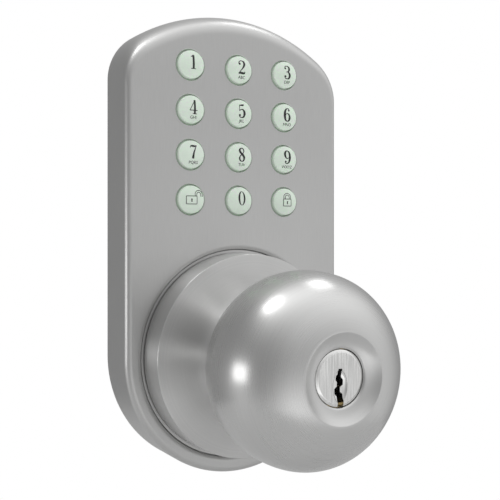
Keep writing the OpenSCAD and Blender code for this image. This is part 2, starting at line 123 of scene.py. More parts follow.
def finish_mesh(bm, name):
    """Turns a bmesh into a smooth-shaded object whose sharp edges stay crisp."""
    crisp = math.radians(32)
    bmesh.ops.recalc_face_normals(bm, faces=bm.faces)
    for face in bm.faces:
        face.smooth = True
    for edge in bm.edges:
        edge.smooth = len(edge.link_faces) != 2 or edge.calc_face_angle() < crisp
    mesh = bpy.data.meshes.new(name)
    bm.to_mesh(mesh)
    bm.free()
    obj = bpy.data.objects.new(name, mesh)
    bpy.context.scene.collection.objects.link(obj)
    modifier = obj.modifiers.new("even normals", "WEIGHTED_NORMAL")
    modifier.keep_sharp = True
    return obj


def add_ring(bm, points, out):
    return [bm.verts.new(place(x, up, out)) for x, up in points]


def bridge(bm, first, second):
    """Faces between two rings of vertices that have the same count."""
    count = len(first)
    for i in range(count):
        j = (i + 1) % count
        bm.faces.new(list(dict.fromkeys([first[i], first[j], second[j], second[i]])))


def loft(bm, rings):
    """Faces from each ring to the next."""
    for first, second in zip(rings, rings[1:]):
        bridge(bm, first, second)


def fill_between(bm, rings):
    """A flat face bounded by rings: the outline and the holes in it."""
    edges = [bm.edges.get((ring[i - 1], ring[i])) for ring in rings for i in range(len(ring))]
    bmesh.ops.triangle_fill(bm, use_beauty=True, use_dissolve=False, edges=edges)


def arc(centre, r, start, end, steps, ends=True):
    """Points along an arc between two angles in degrees, with or without its two ends."""
    skip = 0 if ends else 1
    angles = [math.radians(start + (end - start) * i / steps) for i in range(skip, steps + 1 - skip)]
    return [(centre[0] + r * math.cos(a), centre[1] + r * math.sin(a)) for a in angles]


def circle(r, count, centre=(0, 0)):
    return arc(centre, r, 0, 360 - 360 / count, count - 1)


def add_lathe(bm, profile, centre, segments, closed=True):
    """Turns a profile of (radius, out) around an axis through centre. A point at radius 0 closes an end."""
    rings = []
    for r, out in profile:
        if r == 0:
            rings.append([bm.verts.new(place(centre[0], centre[1], out))] * segments)
        else:
            rings.append(add_ring(bm, circle(r, segments, centre), out))
    loft(bm, rings)
    if closed:
        bridge(bm, rings[-1], rings[0])
    return rings


def lathe(name, profile, centre=(0, 0), segments=192, closed=True):
    bm = bmesh.new()
    add_lathe(bm, profile, centre, segments, closed)
    return finish_mesh(bm, name)


def tube(bm, centre, r, hole_r, start, end):
    add_lathe(bm, [(r, start), (r, end), (hole_r, end), (hole_r, start)], centre, 32)


def rounded(corners, steps=6):
    """A profile whose corners (radius, out, reach) are rounded off over reach to each side."""
    points = []
    for i, (r, out, reach) in enumerate(corners):
        here = Vector((r, out))
        if reach == 0:
            points.append((r, out))
            continue
        back = Vector(corners[i - 1][:2]) - here
        ahead = Vector(corners[(i + 1) % len(corners)][:2]) - here
        start = here + back.normalized() * min(reach, back.length * 0.48)
        end = here + ahead.normalized() * min(reach, ahead.length * 0.48)
        for k in range(steps + 1):
            t = k / steps
            points.append(tuple((1 - t) ** 2 * start + 2 * t * (1 - t) * here + t * t * end))
    return points


def carve(obj, *cutters):
    """Cuts the cutters out of obj, and returns the result as a new object in the place of them all."""
    for cutter in cutters:
        cut = obj.modifiers.new("cut", "BOOLEAN")
        cut.operation = "DIFFERENCE"
        cut.solver = "EXACT"
        cut.object = cutter
    obj.modifiers["even normals"].show_viewport = False
    bpy.context.view_layer.update()
    solid = obj.evaluated_get(bpy.context.evaluated_depsgraph_get())
    mesh = bpy.data.meshes.new_from_object(solid)
    bm = bmesh.new()
    bm.from_mesh(mesh)
    name = obj.name
    for old in (obj, *cutters):
        bpy.data.objects.remove(old)
    bpy.data.meshes.remove(mesh)
    bmesh.ops.remove_doubles(bm, verts=bm.verts, dist=MM * 0.0005)
    return finish_mesh(bm, name)


# Materials

class Nodes:
    """A material's node tree, with short ways to add to it."""

    def __init__(self, name, color, metallic, roughness):
        self.material = bpy.data.materials.new(name)
        self.material.use_nodes = True
        self.tree = self.material.node_tree
        self.shader = self.tree.nodes["Principled BSDF"]
        self.color = color
        self.shader.inputs["Base Color"].default_value = (*color, 1)
        self.shader.inputs["Metallic"].default_value = metallic
        self.shader.inputs["Roughness"].default_value = roughness
        self.at = self.add("ShaderNodeTexCoord").outputs["Object"]

    def add(self, kind, **settings):
        node = self.tree.nodes.new(kind)
        for key, value in settings.items():
            setattr(node, key, value)
        return node

    def link(self, output, target):
        self.tree.links.new(output, target)

    def math(self, operation, first, second=0.0):
        node = self.add("ShaderNodeMath", operation=operation)
        for socket, value in zip(node.inputs, (first, second)):
            if isinstance(value, (int, float)):
                socket.default_value = value
            else:
                self.link(value, socket)
        return node.outputs[0]

    def blend(self, first, second, share=0.5):
        """A weighted sum, of which share is the first value's part."""
        return self.math("ADD", self.math("MULTIPLY", first, share), self.math("MULTIPLY", second, 1 - share))

    def stretched(self, scale):
        """The object's own coordinates, scaled differently along each axis."""
        node = self.add("ShaderNodeMapping")
        node.inputs["Scale"].default_value = scale
        self.link(self.at, node.inputs["Vector"])
        return node.outputs[0]

    def turned(self):
        """Coordinates that are the same all the way around the knob axis: (radius, y, 0)."""
        split = self.add("ShaderNodeSeparateXYZ")
        self.link(self.at, split.inputs[0])
        x, y, z = split.outputs
        r = self.math("SQRT", self.math("ADD", self.math("MULTIPLY", x, x), self.math("MULTIPLY", z, z)))
        join = self.add("ShaderNodeCombineXYZ")
        self.link(r, join.inputs[0])
        self.link(y, join.inputs[1])
        return join.outputs[0]

    def noise(self, vector, scale, detail=3.0, roughness=0.5):
        node = self.add("ShaderNodeTexNoise")
        node.inputs["Scale"].default_value = scale
        node.inputs["Detail"].default_value = detail
        node.inputs["Roughness"].default_value = roughness
        self.link(vector, node.inputs["Vector"])
        return node.outputs["Fac"]

    def span(self, value, low, high):
        """Spreads a noise, which mostly stays between 0.3 and 0.7, from low to high."""
        node = self.add("ShaderNodeMapRange")
        for socket, number in zip(node.inputs[1:5], (0.3, 0.7, low, high)):
            socket.default_value = number
        self.link(value, node.inputs[0])
        return node.outputs[0]

    def vary_color(self, value, dark, light):
        """The colour goes from dark times to light times the base colour."""
        mix = self.add("ShaderNodeMix", data_type="RGBA")
        self.link(self.span(value, 0, 1), mix.inputs["Factor"])
        mix.inputs["A"].default_value = (*(c * dark for c in self.color), 1)
        mix.inputs["B"].default_value = (*(min(c * light, 1) for c in self.color), 1)
        self.link(mix.outputs["Result"], self.shader.inputs["Base Color"])

    def vary_roughness(self, value, low, high):
        self.link(self.span(value, low, high), self.shader.inputs["Roughness"])

    def bump(self, height, strength, depth_mm):
        node = self.add("ShaderNodeBump")
        node.inputs["Strength"].default_value = strength
        node.inputs["Distance"].default_value = depth_mm * MM
        self.link(height, node.inputs["Height"])
        self.link(node.outputs[0], self.shader.inputs["Normal"])

    def around_axis(self, amount):
        """Highlights stretched around the knob axis, as on a surface finished on a lathe."""
        tangent = self.add("ShaderNodeTangent", direction_type="RADIAL", axis="Y")
        self.shader.inputs["Anisotropic"].default_value = amount
        self.shader.inputs["Anisotropic Rotation"].default_value = 0.25
        self.link(tangent.outputs[0], self.shader.inputs["Tangent"])


NICKEL = (0.60, 0.60, 0.595)


def brushed_nickel():
    """Satin nickel with fine vertical brush lines."""
    m = Nodes("brushed nickel", NICKEL, 1, 0.36)
    lines = m.noise(m.stretched((9000, 9000, 160)), 1, 4, 0.6)
    patches = m.noise(m.at, 60, 2)
    m.vary_color(lines, 0.955, 1.035)
    m.vary_roughness(m.blend(lines, patches), 0.33, 0.41)
    m.bump(lines, 0.25, 0.004)
    return m.material


def turned_nickel(name, roughness, anisotropic):
    """Satin nickel finished on a lathe, with fine rings around the knob axis, its colour painted a tenth
    lighter than the plate's as painted light on the rose and knob.
    """
    # Painted light: the plate's nickel made a tenth lighter, so the rose and knob look more brightly lit.
    m = Nodes(name, [c * 1.1 for c in NICKEL], 1, roughness)
    rings = m.noise(m.turned(), 7000, 4, 0.6)
    patches = m.noise(m.at, 70, 2)
    m.vary_color(rings, 0.96, 1.03)
    m.vary_roughness(m.blend(rings, patches), roughness - 0.03, roughness + 0.04)
    m.bump(rings, 0.22, 0.004)
    m.around_axis(anisotropic)
    return m.material


def bright_nickel():
    """The plug's polished face, with faint vertical polishing lines."""
    m = Nodes("bright nickel", (0.92, 0.92, 0.91), 1, 0.16)
    lines = m.noise(m.stretched((3500, 3500, 120)), 1, 3, 0.55)
    m.vary_color(lines, 0.88, 1.08)
    m.vary_roughness(lines, 0.12, 0.24)
    m.bump(lines, 0.3, 0.006)
    return m.material


def glow_plastic():
    """Pale green, slightly translucent plastic with a very fine moulded grain and a faint painted glow."""
    m = Nodes("glow plastic", (0.78, 0.88, 0.78), 0, 0.34)
    # Painted glow: a faint green emission that brightens the keys, which are no lamps.
    m.shader.inputs["Emission Color"].default_value = (0.80, 0.95, 0.80, 1)
    m.shader.inputs["Emission Strength"].default_value = 0.12
    m.shader.inputs["Subsurface Weight"].default_value = 0.25
    m.shader.inputs["Subsurface Radius"].default_value = (0.6, 1.0, 0.6)
    m.shader.inputs["Subsurface Scale"].default_value = 0.6 * MM
    m.shader.inputs["Specular IOR Level"].default_value = 0.45
    clouds = m.noise(m.at, 260, 3)
    grain = m.noise(m.at, 9000, 2)
    m.vary_color(clouds, 0.96, 1.03)
    m.vary_roughness(clouds, 0.30, 0.38)
    m.bump(grain, 0.15, 0.01)
    return m.material


def key_ink():
    """The black print on the keys."""
    m = Nodes("key ink", (0.012, 0.014, 0.013), 0, 0.5)
    speckle = m.noise(m.at, 6000, 3)
    m.vary_color(speckle, 0.6, 2.2)
    m.vary_roughness(speckle, 0.42, 0.6)
    m.bump(speckle, 0.2, 0.004)
    return m.material


def rubber(name, color):
    """Matte rubber with a fine grain and a little dust."""
    m = Nodes(name, color, 0, 0.7)
    grain = m.noise(m.at, 3500, 4, 0.65)
    dust = m.noise(m.at, 90, 3)
    m.vary_color(dust, 0.8, 1.35)
    m.vary_roughness(dust, 0.62, 0.85)
    m.bump(grain, 0.5, 0.03)
    m.shader.inputs["Sheen Weight"].default_value = 0.08
    return m.material


def zinc_steel():
    """Zinc-plated steel: a cloudy, faintly blue surface with drawing lines."""
    m = Nodes("zinc plated steel", (0.56, 0.585, 0.61), 1, 0.34)
    clouds = m.noise(m.at, 160, 5, 0.6)
    lines = m.noise(m.stretched((2500, 300, 2500)), 1, 3)
    m.vary_color(clouds, 0.88, 1.08)
    m.vary_roughness(clouds, 0.27, 0.44)
    m.bump(lines, 0.3, 0.01)
    return m.material


def spring_steel():
    """Dark polished wire and sheet with fine streaks."""
    m = Nodes("spring steel", (0.47, 0.47, 0.49), 1, 0.24)
    streaks = m.noise(m.at, 1400, 4, 0.6)
    m.vary_color(streaks, 0.8, 1.12)
    m.vary_roughness(streaks, 0.18, 0.34)
    m.bump(streaks, 0.2, 0.006)
    return m.material


def brass():
    """Machined brass with turning rings and a little tarnish."""
    m = Nodes("brass", (0.76, 0.58, 0.28), 1, 0.28)
    tarnish = m.noise(m.at, 220, 5, 0.6)
    rings = m.noise(m.turned(), 5000, 3)
    m.vary_color(tarnish, 0.78, 1.08)
    m.vary_roughness(tarnish, 0.22, 0.42)
    m.bump(rings, 0.3, 0.006)
    return m.material


def cast_zinc():
    """Rough die-cast metal, as it leaves the mould."""
    m = Nodes("cast zinc", (0.42, 0.42, 0.43), 0.9, 0.55)
    grain = m.noise(m.at, 1800, 5, 0.7)
    flow = m.noise(m.at, 120, 3)
    m.vary_color(flow, 0.82, 1.12)
    m.vary_roughness(grain, 0.45, 0.68)
    m.bump(grain, 0.6, 0.04)
    return m.material


def board_green():
    """Solder mask over copper tracks, which show as slightly raised, lighter lines."""
    m = Nodes("board green", (0.02, 0.19, 0.075), 0, 0.3)
    tracks = m.add("ShaderNodeTexBrick", offset=0.37)
    tracks.inputs["Scale"].default_value = 1
    tracks.inputs["Mortar Size"].default_value = 0.12
    tracks.inputs["Brick Width"].default_value = 3.1
    tracks.inputs["Row Height"].default_value = 1.3
    m.link(m.stretched((1000, 1000, 1000)), tracks.inputs["Vector"])
    weave = m.noise(m.at, 2600, 2)
    m.vary_color(m.blend(tracks.outputs["Fac"], weave, 0.3), 0.8, 1.5)
    m.vary_roughness(weave, 0.24, 0.38)
    m.bump(tracks.outputs["Fac"], 0.4, 0.02)
    return m.material


def moulded_plastic(name, color, roughness):
    """Hard plastic with a fine grain."""
    m = Nodes(name, color, 0, roughness)
    grain = m.noise(m.at, 4200, 4, 0.6)
    clouds = m.noise(m.at, 140, 3)
    m.vary_color(clouds, 0.86, 1.12)
    m.vary_roughness(grain, roughness - 0.06, roughness + 0.08)
    m.bump(grain, 0.35, 0.015)
    return m.material


def lamp_clear():
    """The lamps' partly clear lenses."""
    m = moulded_plastic("lamp lens", (0.9, 0.9, 0.74), 0.14)
    m.node_tree.nodes["Principled BSDF"].inputs["Transmission Weight"].default_value = 0.35
    return m


plate_metal = brushed_nickel()
rose_metal = turned_nickel("turned nickel", 0.34, 0.9)
knob_metal = turned_nickel("satin knob nickel", 0.28, 0.25)
ink = key_ink()
finishes = {
    "satin_nickel": plate_metal,
    "bright_nickel": bright_nickel(),
    "black_rubber": rubber("black rubber", (0.022, 0.022, 0.023)),
    "white_rubber": rubber("silicone membrane", (0.72, 0.73, 0.70)),
    "zinc_steel": zinc_steel(),
    "spring_steel": spring_steel(),
    "brass": brass(),
    "cast_zinc": cast_zinc(),
    "board_green": board_green(),
    "black_plastic": moulded_plastic("black plastic", (0.018, 0.018, 0.019), 0.46),
    "ivory_plastic": moulded_plastic("ivory plastic", (0.78, 0.74, 0.62), 0.38),
    "lamp_clear": lamp_clear(),
    "glow_plastic": glow_plastic(),
}

for part in frame["record"]["subparts"]:
    node = frame["nodes"][part["node"]]
    if not node.material_slots:
        node.data.materials.append(None)
    for material_slot in node.material_slots:
        material_slot.material = finishes[part["material_slot"]]


def dress(obj, body, slot, *nodes, material=None):
    """Gives a piece its finish and its body, and hides the CAD nodes that it stands for."""
    obj.data.materials.clear()
    obj.data.materials.append(material or finishes[slot])
    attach(obj, body)
    if nodes:
        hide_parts(*nodes)


# Plate

def outline(side_in, top_in):
    """A round bottom, straight sides, round corners and an arc along the top."""
    w = half_w - side_in
    corner = max(corner_r - top_in / 2, 2)
    top = plate_top - top_in
    rise = math.sqrt((crown_r - corner) ** 2 - (w - corner) ** 2)
    corner_z = top - crown_r + rise
    lean = math.degrees(math.atan2(rise, w - corner))
    return (arc((0, 0), w, 180, 360, 96)
            + arc((w - corner, corner_z), corner, 0, lean, 20)
            + arc((0, top - crown_r), crown_r, lean, 180 - lean, 48, ends=False)
            + arc((corner - w, corner_z), corner, 180 - lean, 180, 20))


def side_inset(out):
    """How far the sides have come in at a distance from the door, where the front edge is rounded."""
    into_edge = out - plate_t + edge_r
    return 0 if into_edge <= 0 else edge_r - math.sqrt(max(edge_r ** 2 - into_edge ** 2, 0))


def top_inset(out):
    """How far the top has come down at a distance from the door, along a superellipse."""
    share = max(1 - (out / plate_t) ** crown_square, 0)
    return crown_fall * (1 - share ** (1 / crown_square))


def key_places():
    """Each key's name and the middle of its cap."""
    for name in key_names:
        low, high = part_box("button_" + name)
        yield name, ((low.x + high.x) / 2 / MM, (low.z + high.z) / 2 / MM)


def rolled_edge(r, reach, depth, step):
    """The rounded edge of a hole of radius r, from the plate's face down into the hole."""
    return [(r + reach * (1 - math.sin(math.radians(a))), plate_t - depth * (1 - math.cos(math.radians(a))))
            for a in range(0, 91, step)]


def board_posts():
    """The middles of the posts that carry the circuit board, between the columns and rows of keys."""
    places = dict(key_places())
    middle_x, right_x = places["2"][0], places["3"][0]
    for upper, lower in (("2", "5"), ("8", "0")):
        up = (places[upper][1] + places[lower][1]) / 2
        for side in (-0.5, 0.5):
            yield (middle_x + side * (right_x - middle_x), up)


def screw_places():
    """The middles of the case screws' bosses, which run 0.4 mm into the side wall."""
    in_r = half_w - side_wall - boss_r + 0.4
    corner_up = plate_top - crown_r + math.sqrt((crown_r - corner_r) ** 2 - (half_w - corner_r) ** 2)
    up = corner_up - boss_drop
    slant = in_r * math.sin(math.radians(45))
    return [(in_r, up), (-in_r, up), (slant, -slant), (-slant, -slant)]


def plate_shell():
    """A tray, open towards the door, with its key holes, the rose's seat, and its posts and bosses."""
    bm = bmesh.new()
    edge_outs = [plate_t - edge_r * (1 - math.sin(math.radians(a))) for a in range(0, 91, 6)]
    outer = [add_ring(bm, outline(side_inset(out), top_inset(out)), out)
             for out in sorted([plate_t * i / 20 for i in range(18)] + edge_outs)]
    inner = [add_ring(bm, outline(side_wall, top_inset(out) + side_wall), out)
             for out in [inside_out * i / 8 for i in range(9)]]
    loft(bm, outer)
    loft(bm, inner)
    bridge(bm, outer[0], inner[0])
    front, back = [outer[-1]], [inner[-1]]

    def open_hole(profile, centre, segments):
        rings = add_lathe(bm, profile, centre, segments, closed=False)
        front.append(rings[0])
        back.append(rings[-1])

    key_edge = rolled_edge(key_hole_r, hole_round, hole_round, 15)
    for _, centre in key_places():
        open_hole(key_edge + [(key_hole_r, inside_out)], centre, 64)
    opening_r = collar_r + 0.05
    seat_edge = rolled_edge(rose_r + rose_gap, roll_in, plate_t - seat_out, 9)
    open_hole(seat_edge + [(opening_r, seat_out), (opening_r, inside_out)], (0, 0), 192)
    fill_between(bm, front)
    fill_between(bm, back)
    for centre in board_posts():
        tube(bm, centre, post_r, post_hole_r, board_out, inside_out)
    for centre in screw_places():
        tube(bm, centre, boss_r, boss_hole_r, boss_back, inside_out)
    return finish_mesh(bm, "plate_shell")


dress(plate_shell(), "root", "satin_nickel", "face_plate")


# Rose

def rose_bell():
    """A tapered wall, a face that rises slowly and then sharply, and a collar through the plate."""
    base_out = seat_out + 0.4
    collar_back = plate_t - 5
    crest_r = collar_in_r + 1.2
    run = rose_rim_r - crest_r
    under_run = run - rose_wall - 1.3
    rise = rose_slope * run
    crest = rose_front - rim_out

    def climb(t, share=1):
        """How far the face is above its rim after the part t of its way to the neck."""
        return rise * t + (crest - rise) * t ** 8 * share

    face_steps, under_steps = 48, 16
    face = [(rose_rim_r - run * t, rim_out + climb(t), 0)
            for t in [i / face_steps for i in range(1, face_steps)]]
    under = [(rose_rim_r - rose_wall - under_run * t, rim_out - rose_wall + climb(t, 0.6), 0)
             for t in [i / under_steps for i in range(under_steps, -1, -1)]]
    corners = ([(rose_r, base_out, 0.1), (rose_rim_r, rim_out, 0.35)] + face
               + [(crest_r, rose_front, 0.4), (collar_in_r, rose_front, 0.35),
                  (collar_in_r, collar_back, 0.2), (collar_r, collar_back, 0.2)] + under
               + [(rose_r - rose_wall, plate_t + 1, 0), (rose_r - rose_wall, base_out, 0.1)])
    return lathe("rose_bell", rounded(corners), segments=224)


dress(rose_bell(), "root", "satin_nickel", "rose", material=rose_metal)


# Knob

def back_depth(widest, depth, r):
    """How far a half ellipse lies behind its widest place, at a radius."""
    return depth * math.sqrt(1 - (r / widest) ** 2)


def front_depth(widest, depth, r):
    """How far a half superellipse lies in front of its widest place, at a radius."""
    return depth * max(1 - (r / widest) ** knob_square, 0) ** (1 / knob_square)


def knob_ball():
    """A hollow ball whose front opens into a rounded lip, a dish and the bore around the plug."""

    def shell(widest, back, front, back_r, front_r, steps):
        """A profile from the back opening over the widest place to the front opening."""
        turn_back = math.acos(back_r / widest)
        turn_front = math.acos(front_r / widest)
        behind = [widest * math.cos(turn_back * (1 - i / steps)) for i in range(steps)]
        before = [widest * math.cos(turn_front * i / steps) for i in range(1, steps + 1)]
        return ([(r, knob_out - back_depth(widest, back, r)) for r in behind] + [(widest, knob_out)]
                + [(r, knob_out + front_depth(widest, front, r)) for r in before])

    lip_start_r = lip_r + 0.35
    outer = shell(knob_r, knob_back, knob_front, neck_r, lip_start_r, 56)
    inner_sizes = [size - knob_wall for size in (knob_r, knob_back, knob_front)]
    inner = shell(*inner_sizes, neck_seat_r, lip_r + 0.9, 20)
    lip_steps, lip_w = 10, 0.72
    lip_base = outer[-1][1]
    lip_h = (lip_out - lip_base) * 0.9
    lip = [(lip_start_r - lip_w * math.sin(math.radians(90 * i / lip_steps)),
            lip_base + lip_h * math.sin(math.radians(180 * i / lip_steps)))
           for i in range(1, lip_steps)]
    dish_steps, dish_sag = 14, 0.12
    start_r, start_out = lip[-1]
    end_r, end_out = bore_r + 0.45, dish_out + 0.22
    dish = [(start_r + (end_r - start_r) * t,
             start_out + (end_out - start_out) * (t + dish_sag * math.sin(math.pi * t)))
            for t in [i / dish_steps for i in range(1, dish_steps + 1)]]
    bore_depth = 2
    bore = [(bore_r + 0.12, dish_out + 0.05), (bore_r, dish_out - 0.15), (bore_r, dish_out - bore_depth)]
    return lathe("knob_ball", outer + lip + dish + bore + inner[::-1], segments=256)


def knob_collar():
    """A tube with a floor around the spindle, and a ring that fits in the ball's back opening."""
    ball_back = knob_out - back_depth(knob_r, knob_back, neck_r)
    spindle_hole_r = extent("spindle")[0] + 0.05
    end = plate_t + 2.2
    wall = 2.0
    floor_back = ball_back - 2.5
    ring_r = neck_seat_r - 0.05
    ring_in_r = neck_seat_r - 1.6
    ring_front = ball_back + 2.9
    corners = [(neck_r, end, 0.3), (neck_r, ball_back, 0.1), (ring_r, ball_back, 0.1),
               (ring_r, ring_front, 0.3), (ring_in_r, ring_front, 0.3), (ring_in_r, ball_back, 0.2),
               (spindle_hole_r, ball_back, 0.15), (spindle_hole_r, floor_back, 0.15),
               (neck_r - wall, floor_back, 0.3), (neck_r - wall, end, 0.3)]
    return lathe("knob_collar", rounded(corners))


dress(knob_ball(), "knob", "satin_nickel", "knob_shell", material=knob_metal)
dress(knob_collar(), "knob", "satin_nickel", "knob_neck", material=knob_metal)


# Key plug

def prism(name, points, start, end):
    """An outline drawn out between two distances from the door."""
    bm = bmesh.new()
    first, second = add_ring(bm, points, start), add_ring(bm, points, end)
    bridge(bm, first, second)
    bm.faces.new(first)
    bm.faces.new(second)
    return finish_mesh(bm, name)


def keyway_outline():
    """A slot with stepped wards on both sides, open at the plug's lower edge."""
    w, top, low = 1.3, 2.3, -plug_r - 1
    return [(-0.35 * w, top), (0.5 * w, top), (0.5 * w, 0.2), (0.95 * w, -0.5), (0.95 * w, -1.7),
            (0.35 * w, -2.3), (0.35 * w, -3.4), (0.8 * w, -3.9), (0.8 * w, low), (-0.5 * w, low),
            (-0.5 * w, -4.4), (-w, -3.8), (-w, -2.6), (-0.35 * w, -2), (-0.35 * w, -1), (-0.7 * w, -0.5),
            (-0.7 * w, 0.5), (-0.35 * w, 0.9)]


def scoop_cutter():
    """A lens, hollowed like a spoon, that opens onto the plug's face around the keyway."""
    bm = bmesh.new()
    half_x, half_up, depth = 2.15, 4.15, 0.75
    middle_up = -2
    taper = 1.25
    steps, sides = 8, 64

    def slice_at(size):
        """The lens's outline, which comes to a blunt point above and below, at a part of its full size."""
        angles = [2 * math.pi * k / sides for k in range(sides)]
        return [(half_x * size * math.copysign(abs(math.cos(a)) ** taper, math.cos(a)),
                 middle_up + half_up * size * math.sin(a)) for a in angles]

    rings = []
    for i in range(steps):
        turn = math.radians(90 * i / steps)
        rings.append(add_ring(bm, slice_at(math.cos(turn)), dish_out - depth * math.sin(turn)))
    rings.append([bm.verts.new(place(0, middle_up, dish_out - depth))] * sides)
    top = add_ring(bm, slice_at(1), dish_out + 1)
    loft(bm, [top, *rings])
    bm.faces.new(top)
    return finish_mesh(bm, "scoop")


def plug_face():
    """The whole plug: a wide head with a bevel, and a stem with the clip's groove near its back."""
    plug_back = -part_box("key_plug")[1].y / MM
    head_back = dish_out - 2.2
    groove_r = plug_r - 0.75
    groove_front = plug_back + 1.45
    groove_back = plug_back + 0.55
    profile = rounded([(0, dish_out, 0), (head_r - 0.75, dish_out, 0.08), (head_r, dish_out - 0.3, 0.12),
                       (head_r, head_back, 0.1), (plug_r, head_back, 0.08),
                       (plug_r, groove_front, 0.05), (groove_r, groove_front, 0.05),
                       (groove_r, groove_back, 0.05), (plug_r, groove_back, 0.05),
                       (plug_r, plug_back, 0.15), (0, plug_back, 0)], 3)
    plug = lathe("plug_face", profile, segments=128, closed=False)
    return carve(plug, scoop_cutter(), prism("keyway", keyway_outline(), plug_back - 1, dish_out + 1))


dress(plug_face(), "plug", "bright_nickel", "key_plug")


# Keys

crown_out = extent("button_1")[2]
dome_rise = crown_out - plate_t - key_side
dome_r = (key_r ** 2 + dome_rise ** 2) / (2 * dome_rise)


def dome_out(x, up):
    """How far the cap's surface is in front of the door, at a place measured from the cap's middle."""
    return crown_out - dome_r + math.sqrt(dome_r ** 2 - x * x - up * up)


def key_cap(name, centre):
    """A domed cap with a flange behind the plate's face and a stem as long as in the CAD."""
    low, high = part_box("button_" + name)
    flange_r = (high.x - low.x) / 2 / MM
    stem_out = -high.y / MM
    flange_out = inside_out - 0.2
    flange_back = flange_out - flange_t
    dome = [(r, dome_out(r, 0), 0) for r in [key_r * i / 24 for i in range(23)]]
    corners = dome + [(key_r, plate_t + key_side, 0.45), (key_r, flange_out, 0.1),
                      (flange_r, flange_out, 0.15), (flange_r, flange_back, 0.15),
                      (stem_r, flange_back, 0.1), (stem_r, stem_out, 0.2), (0, stem_out, 0)]
    return lathe("key_cap_" + name, rounded(corners), centre, 96, closed=False)


# Prints. A figure is a list of shapes, and a shape is its rungs (pairs of points) and whether it is closed.
# Its unit is the digit's height, x is 0 in the middle and up is 0 at the foot.
digit_h = 4.1
ink_t = 0.03
ink_sunk = 0.01


def swept(points, closed=False, steps=7):
    """Rungs across a smooth line through points (x, up, half width)."""
    count = len(points)
    rows = []
    last = count if closed else count - 1
    for i in range(last):
        p = [Vector(points[k % count] if closed else points[min(max(k, 0), count - 1)])
             for k in (i - 1, i, i + 1, i + 2)]
        for k in range(steps):
            t = k / steps
            rows.append(0.5 * (2 * p[1] + (p[2] - p[0]) * t + (2 * p[0] - 5 * p[1] + 4 * p[2] - p[3]) * t ** 2
                               + (3 * p[1] - p[0] - 3 * p[2] + p[3]) * t ** 3))
    if not closed:
        rows.append(Vector(points[-1]))
    rungs = []
    for i, row in enumerate(rows):
        before = rows[i - 1] if i or closed else row
        after = rows[(i + 1) % len(rows)] if i + 1 < len(rows) or closed else row
        along = (after - before).xy.normalized()
        across = Vector((-along.y, along.x)) * row.z
        rungs.append((row.xy + across, row.xy - across))
    return rungs, closed


def blot(x, up, r):
    """A filled round dot."""
    rungs = []
    for degrees in range(10, 171, 20):
        half, rung_up = r * math.sin(math.radians(degrees)), up + r * math.cos(math.radians(degrees))
        rungs.append((Vector((x - half, rung_up)), Vector((x + half, rung_up))))
    return rungs, False


def bar(x0, x1, low, high):
    """A filled rectangle, with its rungs across its shorter side."""
    if x1 - x0 > high - low:
        return [(Vector((x, low)), Vector((x, high))) for x in (x0, x1)], False
    return [(Vector((x0, up)), Vector((x1, up))) for up in (low, high)], False


def half_turned(shapes):
    """The same shapes upside down."""
    return [([(Vector((-a.x, 1 - a.y)), Vector((-b.x, 1 - b.y))) for a, b in rungs], closed)
            for rungs, closed in shapes]


def zero():
    """An upright oval ring, thicker at its sides."""
    angles = [math.radians(a) for a in range(0, 360, 8)]
    return [([(Vector((0.285 * math.cos(a), 0.5 + 0.5 * math.sin(a))),
               Vector((0.15 * math.cos(a), 0.5 + 0.465 * math.sin(a)))) for a in angles], True)]


